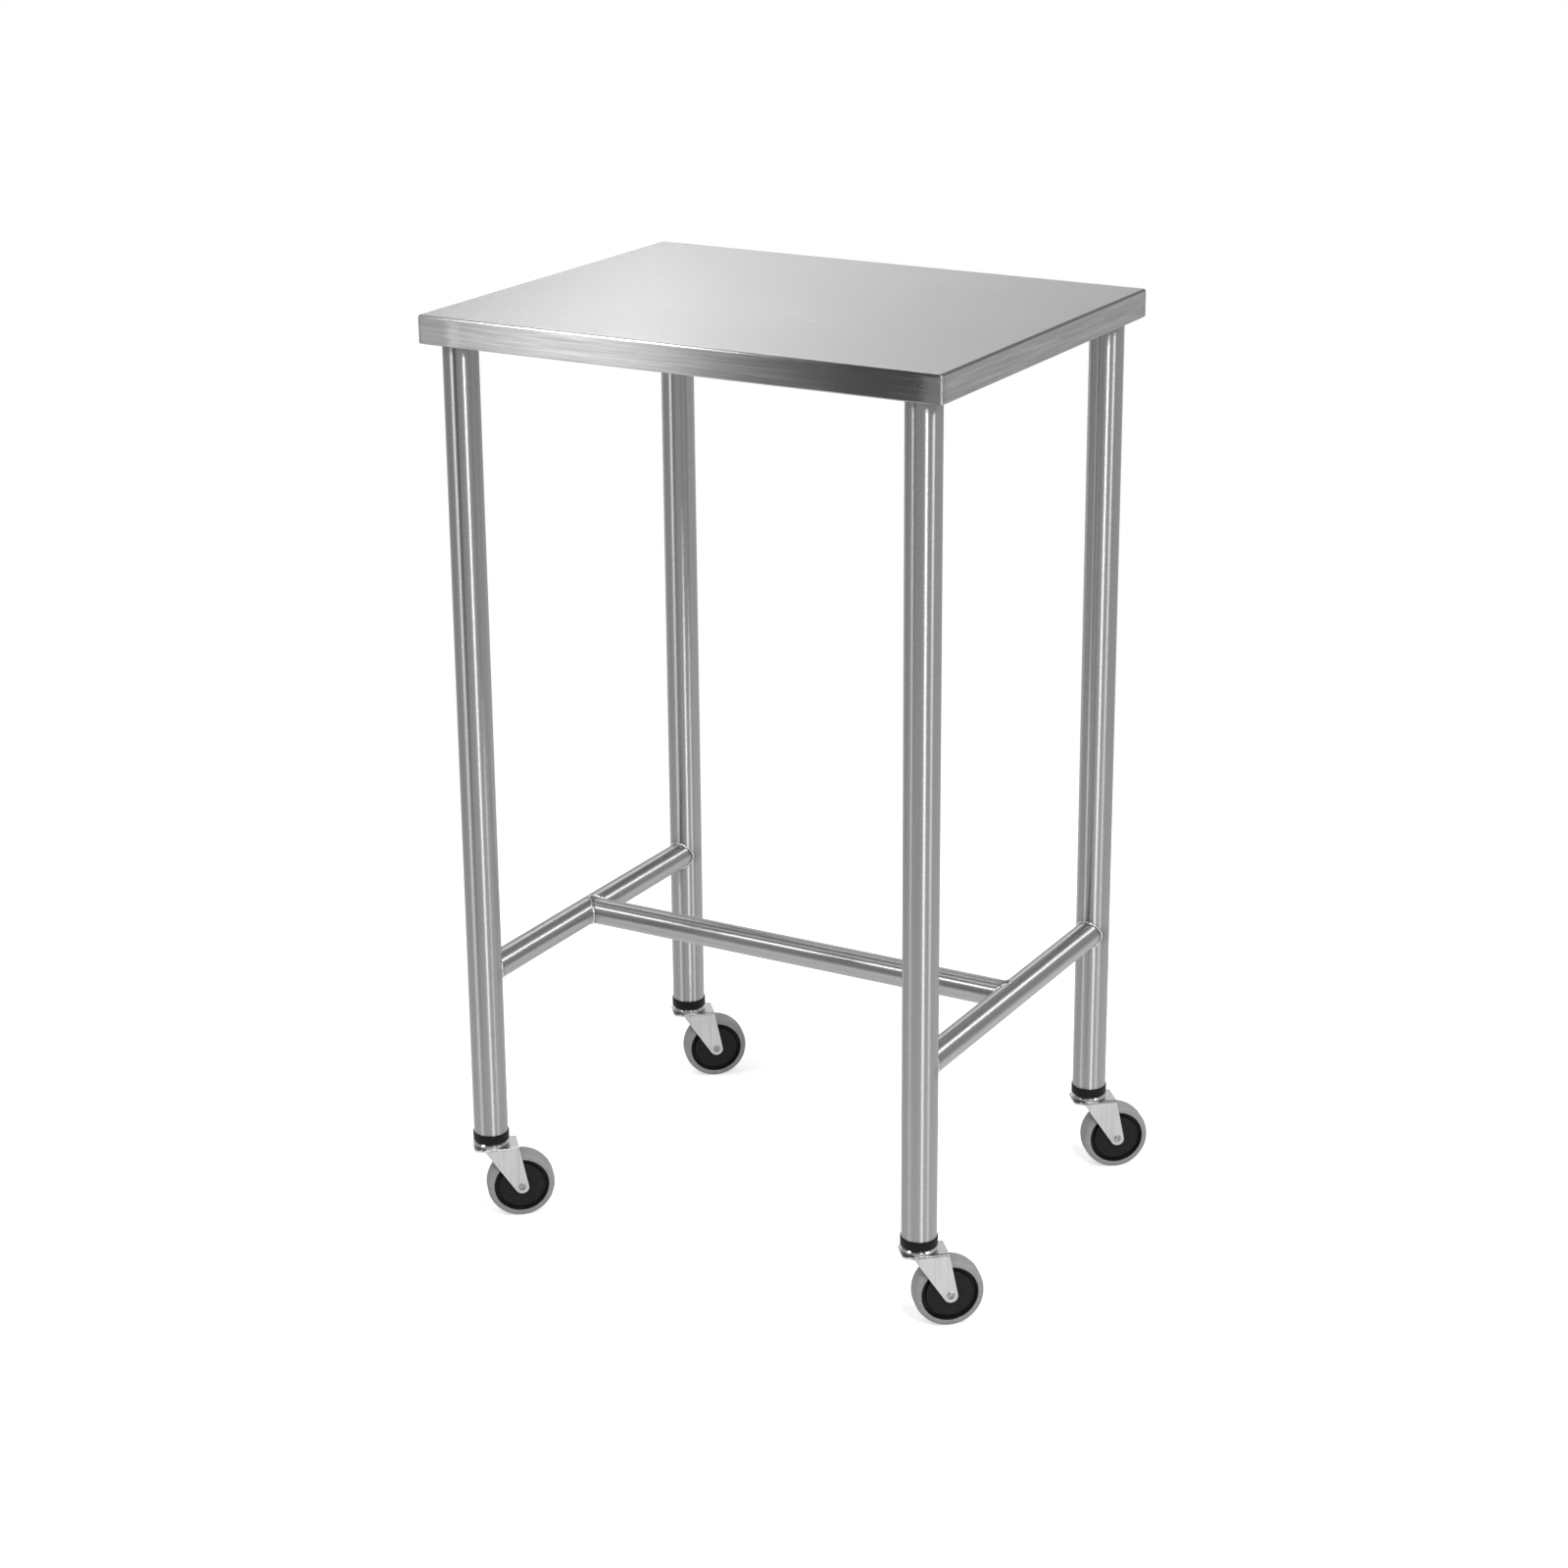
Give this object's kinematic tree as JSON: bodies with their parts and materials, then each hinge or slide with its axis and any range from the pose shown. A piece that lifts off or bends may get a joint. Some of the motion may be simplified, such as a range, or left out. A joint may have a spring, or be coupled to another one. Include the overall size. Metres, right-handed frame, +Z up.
{
  "type": "instrument table",
  "caption": "Small stainless instrument table: folded sheet top with turned-down hemmed edges, round tube legs, a low H-shaped brace and swivel casters.",
  "frame": {"origin": "centre of the work surface, on its upper face", "axes": "+X along the long side to the right, +Y from front to back, +Z up out of the work surface"},
  "size_m": [0.5295, 0.4269, 0.8636],
  "materials": {
    "top_sheet": "fine satin brushed stainless sheet",
    "under_sheet": "plain mill-finish stainless sheet",
    "tube": "satin polished stainless tube",
    "zinc": "bright zinc-plated pressed steel",
    "socket": "black moulded plastic",
    "hub": "black moulded plastic with a soft gloss",
    "tyre": "grey non-marking rubber"
  },
  "bodies": {
    "frame": {"tabletop": "top_sheet", "centre_stiffener": "under_sheet", "cross_rail": "tube", "end_channel_left": "under_sheet", "side_rail_left": "tube", "end_channel_right": "under_sheet", "side_rail_right": "tube", "leg_front_left": "tube", "leg_front_right": "tube", "leg_back_left": "tube", "leg_back_right": "tube", "caster_sockets": "socket", "caster_stems": "zinc", "race_cups": "zinc", "thrust_washers": "zinc"},
    "swivel_front_left": {"fork_front_left": "zinc", "axle_front_left": "zinc", "axle_sleeve_front_left": "zinc"},
    "wheel_front_left": {"hub_front_left": "hub", "tyre_front_left": "tyre"},
    "swivel_front_right": {"fork_front_right": "zinc", "axle_front_right": "zinc", "axle_sleeve_front_right": "zinc"},
    "wheel_front_right": {"hub_front_right": "hub", "tyre_front_right": "tyre"},
    "swivel_back_left": {"fork_back_left": "zinc", "axle_back_left": "zinc", "axle_sleeve_back_left": "zinc"},
    "wheel_back_left": {"hub_back_left": "hub", "tyre_back_left": "tyre"},
    "swivel_back_right": {"fork_back_right": "zinc", "axle_back_right": "zinc", "axle_sleeve_back_right": "zinc"},
    "wheel_back_right": {"hub_back_right": "hub", "tyre_back_right": "tyre"}
  },
  "joints": [
    {"name": "swivel_front_left", "type": "hinge", "parent": "frame", "child": "swivel_front_left", "pos_m": [-0.226, -0.18, -0.7891], "axis": [0, 0, 1], "continuous": true},
    {"name": "roll_front_left", "type": "hinge", "parent": "swivel_front_left", "child": "wheel_front_left", "pos_m": [-0.20608, -0.16329, -0.83185], "axis": [0.6428, -0.766, 0], "continuous": true},
    {"name": "swivel_front_right", "type": "hinge", "parent": "frame", "child": "swivel_front_right", "pos_m": [0.226, -0.18, -0.7891], "axis": [0, 0, 1], "continuous": true},
    {"name": "roll_front_right", "type": "hinge", "parent": "swivel_front_right", "child": "wheel_front_right", "pos_m": [0.24592, -0.16329, -0.83185], "axis": [0.6428, -0.766, 0], "continuous": true},
    {"name": "swivel_back_left", "type": "hinge", "parent": "frame", "child": "swivel_back_left", "pos_m": [-0.226, 0.18, -0.7891], "axis": [0, 0, 1], "continuous": true},
    {"name": "roll_back_left", "type": "hinge", "parent": "swivel_back_left", "child": "wheel_back_left", "pos_m": [-0.20608, 0.19671, -0.83185], "axis": [0.6428, -0.766, 0], "continuous": true},
    {"name": "swivel_back_right", "type": "hinge", "parent": "frame", "child": "swivel_back_right", "pos_m": [0.226, 0.18, -0.7891], "axis": [0, 0, 1], "continuous": true},
    {"name": "roll_back_right", "type": "hinge", "parent": "swivel_back_right", "child": "wheel_back_right", "pos_m": [0.24592, 0.19671, -0.83185], "axis": [0.6428, -0.766, 0], "continuous": true}
  ]
}
